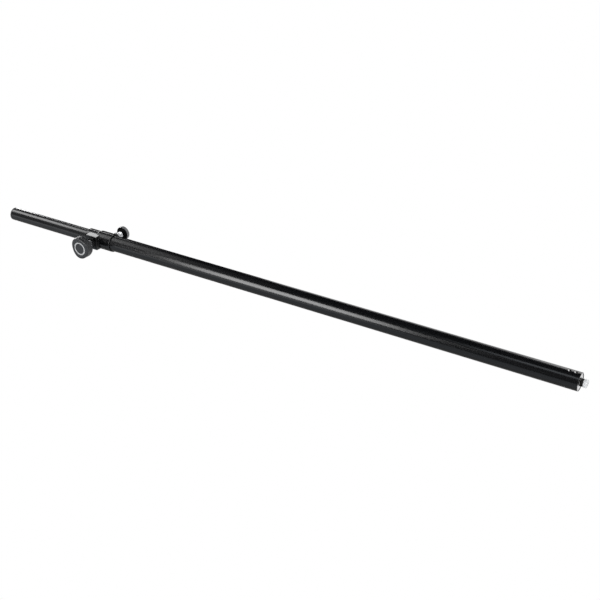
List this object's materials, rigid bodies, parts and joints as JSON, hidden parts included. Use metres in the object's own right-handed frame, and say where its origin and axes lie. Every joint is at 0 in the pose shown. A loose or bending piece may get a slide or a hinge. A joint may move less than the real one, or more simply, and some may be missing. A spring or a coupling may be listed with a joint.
{
  "type": "telescopic speaker pole",
  "caption": "Telescopic speaker pole with a screw clamp, a spring index plunger and a threaded base stud.",
  "frame": {"origin": "centre of the seat face at the foot of the outer tube, on the pole's axis", "axes": "+Z along the pole from the base stud to the top; the clamp knob points along -Y and the index plunger along +Y"},
  "size_m": [0.0586, 0.1435, 1.6599],
  "materials": {
    "black_paint": "satin powder coat",
    "black_plastic": "fine moulded texture",
    "charcoal_plastic": "fine moulded texture",
    "grey_plastic": "satin",
    "glide_plastic": "smooth",
    "zinc_steel": "bright zinc",
    "brass": "turned",
    "black_rubber": "matt"
  },
  "bodies": {
    "outer": {"outer_tube": "black_paint", "base_plug": "zinc_steel", "base_stud": "zinc_steel", "stud_ring": "black_rubber", "clamp_housing": "black_plastic", "guide_sleeve": "glide_plastic", "clamp_nut": "zinc_steel", "index_barrel": "zinc_steel", "index_nut": "zinc_steel", "index_bush": "brass", "index_spring": "zinc_steel"},
    "glide": {"lower_glide": "glide_plastic"},
    "inner": {"inner_tube": "black_paint", "top_plug": "black_plastic", "inner_foot": "black_plastic", "glide_ring": "zinc_steel"},
    "clamp_pad": {"pressure_pad": "brass"},
    "clamp_handle": {"clamp_screw": "zinc_steel", "clamp_knob": "charcoal_plastic", "knob_cap": "grey_plastic"},
    "plunger": {"index_pin": "zinc_steel", "index_knob": "black_plastic"}
  },
  "joints": [
    {"name": "extension", "type": "slide", "parent": "outer", "child": "glide", "axis": [0, 0, 1], "range_m": [-0.165, 0.3]},
    {"name": "swivel", "type": "hinge", "parent": "glide", "child": "inner", "pos_m": [0, 0, 0.886], "axis": [0, 0, 1], "continuous": true},
    {"name": "clamp_travel", "type": "slide", "parent": "outer", "child": "clamp_pad", "axis": [0, -1, 0], "range_m": [0, 0.0035]},
    {"name": "knob_turn", "type": "hinge", "parent": "clamp_pad", "child": "clamp_handle", "pos_m": [0, -0.06, 1.3335], "axis": [0, -1, 0], "range_deg": [0, 720]},
    {"name": "plunger_pull", "type": "slide", "parent": "outer", "child": "plunger", "axis": [0, 1, 0], "range_m": [0, 0.006], "stiffness_N_per_m": 1500, "springref_m": -0.006, "deforming": ["index_spring"]}
  ],
  "couplings": [
    {"joint": "knob_turn", "follows": "clamp_travel", "rad_per_m": 3590}
  ]
}
